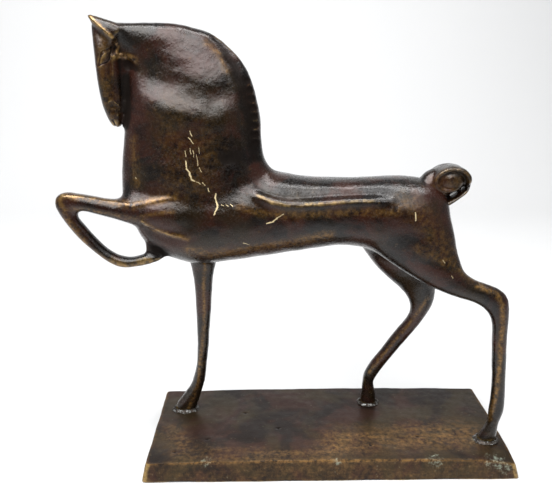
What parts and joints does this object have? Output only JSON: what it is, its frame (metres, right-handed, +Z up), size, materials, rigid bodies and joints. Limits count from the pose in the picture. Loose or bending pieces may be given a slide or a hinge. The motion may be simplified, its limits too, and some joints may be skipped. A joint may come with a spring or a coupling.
{
  "type": "bronze horse statuette",
  "caption": "Patinated bronze prancing horse with a broad arched neck, tucked head, raised foreleg and rolled tail, bolted to a rectangular cast base.",
  "frame": {"origin": "on the resting plane, under the centre of the whole statue's bounding box", "axes": "+Z up, +X from the head towards the tail, +Y towards the far side of the horse (the side of the standing foreleg)"},
  "size_m": [0.3052, 0.0956, 0.2989],
  "materials": {
    "figure_bronze": "dark brown bronze patina, satin wax, rubbed to yellow metal along edges",
    "base_bronze": "mottled brown bronze patina, duller than the figure, with verdigris at one corner",
    "fixing_steel": "plain steel, dull",
    "soft_solder": "grey solder, oxidised, with green bloom",
    "fired_core": "dry fired clay and plaster, matt"
  },
  "bodies": {
    "root": {"trunk_casting": "figure_bronze", "neck_casting": "figure_bronze", "head": "figure_bronze", "near_foreleg": "figure_bronze", "far_foreleg": "figure_bronze", "near_hind_leg": "figure_bronze", "far_hind_leg": "figure_bronze", "tail_knot": "figure_bronze", "near_back_plug": "figure_bronze", "far_back_plug": "figure_bronze", "near_neck_plug": "figure_bronze", "far_neck_plug": "figure_bronze", "base_plate": "base_bronze", "trunk_core": "fired_core", "neck_core": "fired_core", "far_fore_stud": "fixing_steel", "far_fore_washer": "fixing_steel", "far_fore_nut": "fixing_steel", "near_hind_stud": "fixing_steel", "near_hind_washer": "fixing_steel", "near_hind_nut": "fixing_steel", "far_hind_stud": "fixing_steel", "far_hind_washer": "fixing_steel", "far_hind_nut": "fixing_steel", "far_fore_solder": "soft_solder", "near_hind_solder": "soft_solder", "far_hind_solder": "soft_solder"}
  },
  "joints": []
}
